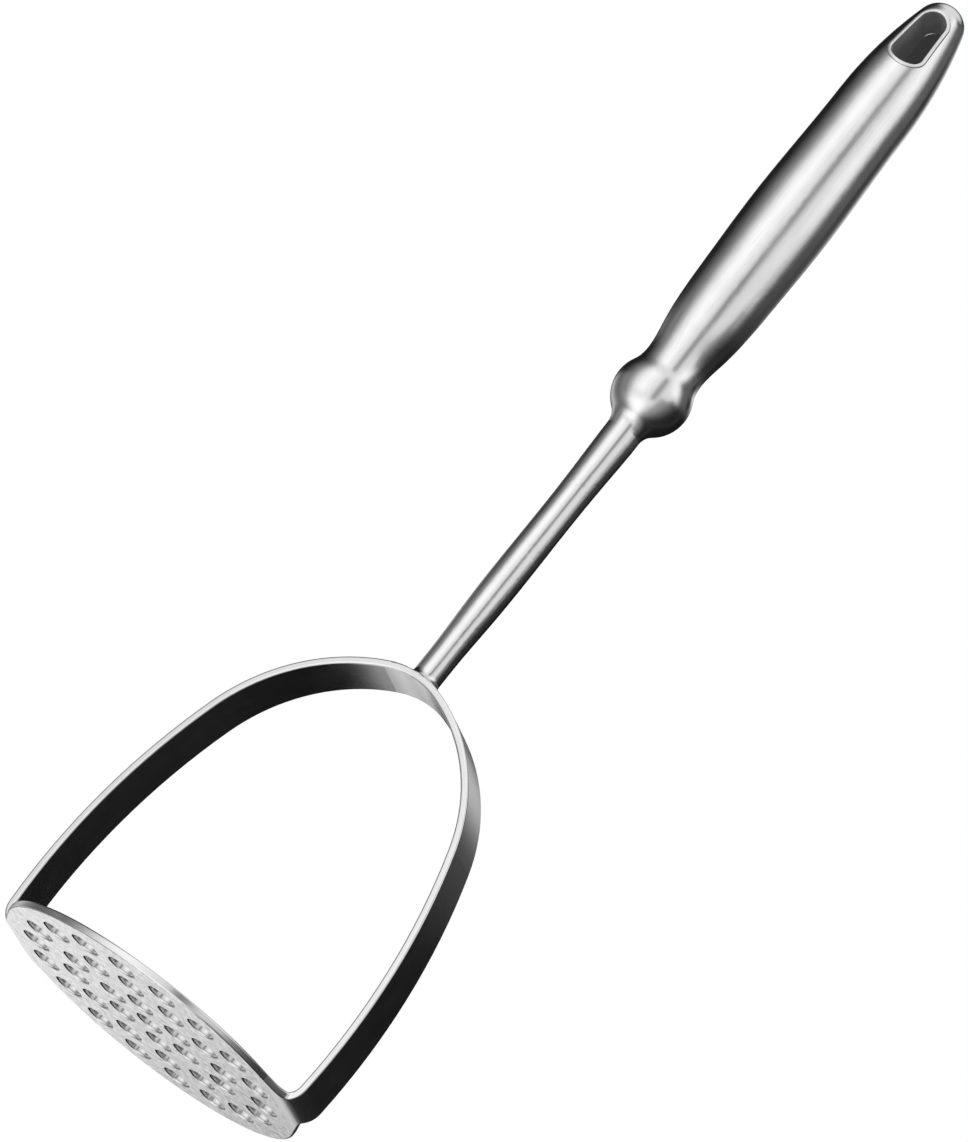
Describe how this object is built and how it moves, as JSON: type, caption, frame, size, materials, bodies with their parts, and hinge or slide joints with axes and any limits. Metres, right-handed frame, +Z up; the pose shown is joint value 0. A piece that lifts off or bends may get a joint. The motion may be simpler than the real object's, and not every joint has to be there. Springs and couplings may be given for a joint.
{
  "type": "potato masher",
  "caption": "All-metal potato masher: round perforated plate under an arched strap yoke, round neck rod with a ball bolster, and a long hollow grip with a lined hang hole.",
  "frame": {"origin": "centre of the plate's underside, which rests on the surface", "axes": "+Z up the rod and handle, X across the yoke's two feet, -Y the front that the grip leans to"},
  "size_m": [0.0828, 0.0748, 0.2835],
  "materials": {
    "plate_steel": "satin, fine random polish",
    "strap_steel": "polished, with fine lines along the strap",
    "rod_steel": "polished lengthwise",
    "handle_steel": "soft polish, lengthwise",
    "sleeve_steel": "polished lip, dull bore",
    "inner_steel": "as turned"
  },
  "bodies": {
    "root": {"mashing_plate": "plate_steel", "foot_welds": "plate_steel", "yoke_strap": "strap_steel", "crown_weld": "rod_steel", "neck_rod": "rod_steel", "bolster_plug": "inner_steel", "handle_front_shell": "handle_steel", "handle_back_shell": "handle_steel", "hang_hole_sleeve": "sleeve_steel"}
  },
  "joints": []
}
